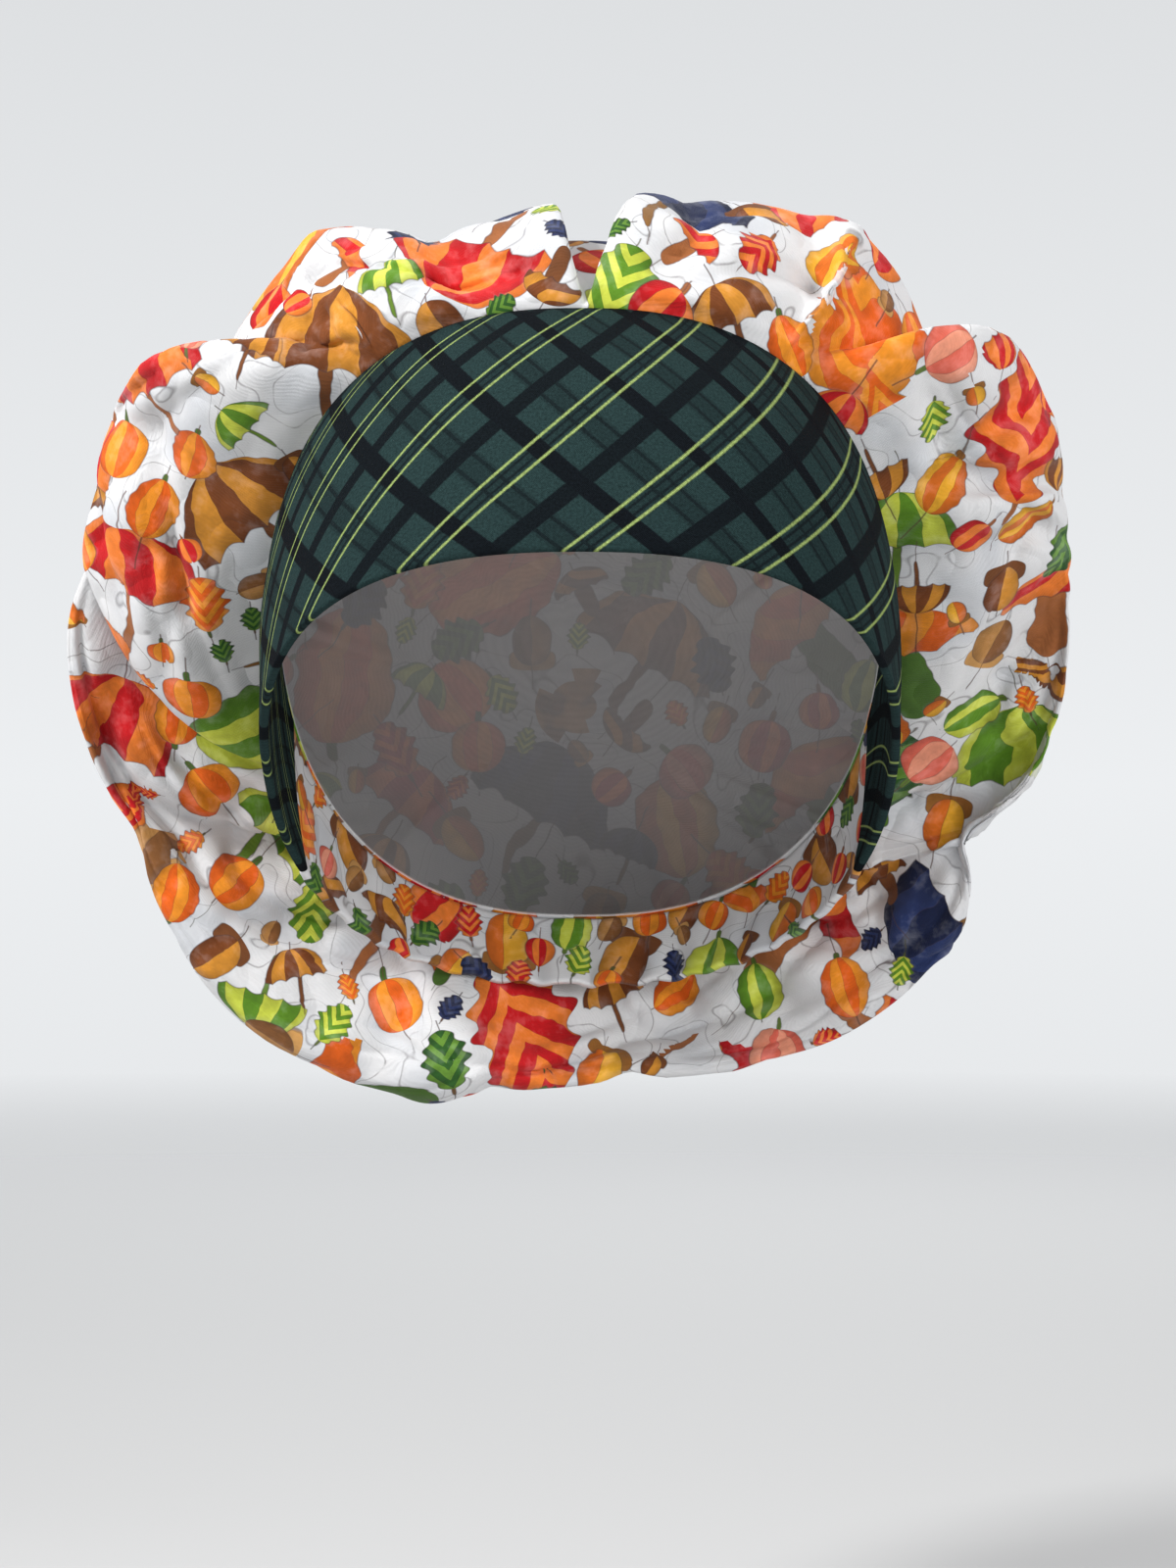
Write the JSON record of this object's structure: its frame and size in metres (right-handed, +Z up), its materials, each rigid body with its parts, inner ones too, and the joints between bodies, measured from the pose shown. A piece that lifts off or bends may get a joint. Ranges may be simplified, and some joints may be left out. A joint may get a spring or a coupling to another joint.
{
  "type": "bouffant scrub cap",
  "caption": "Worn bouffant scrub cap: fitted front band, full pleated crown puffing out all round, gathered casing at the nape, open below for the head.",
  "frame": {"origin": "centre of the leaning opening that the head goes into, between forehead and nape", "axes": "+Z up with the head upright, -Y the way the face looks, +X to the right of someone who looks at the face"},
  "size_m": [0.2597, 0.2377, 0.2309],
  "materials": {
    "plaid_cotton": "plain-weave cotton in a dark green plaid",
    "print_cotton": "plain-weave cotton, white ground with a scattered autumn print"
  },
  "bodies": {
    "root": {"front_band": "plaid_cotton", "bouffant": "print_cotton", "nape_casing": "print_cotton"}
  },
  "joints": []
}
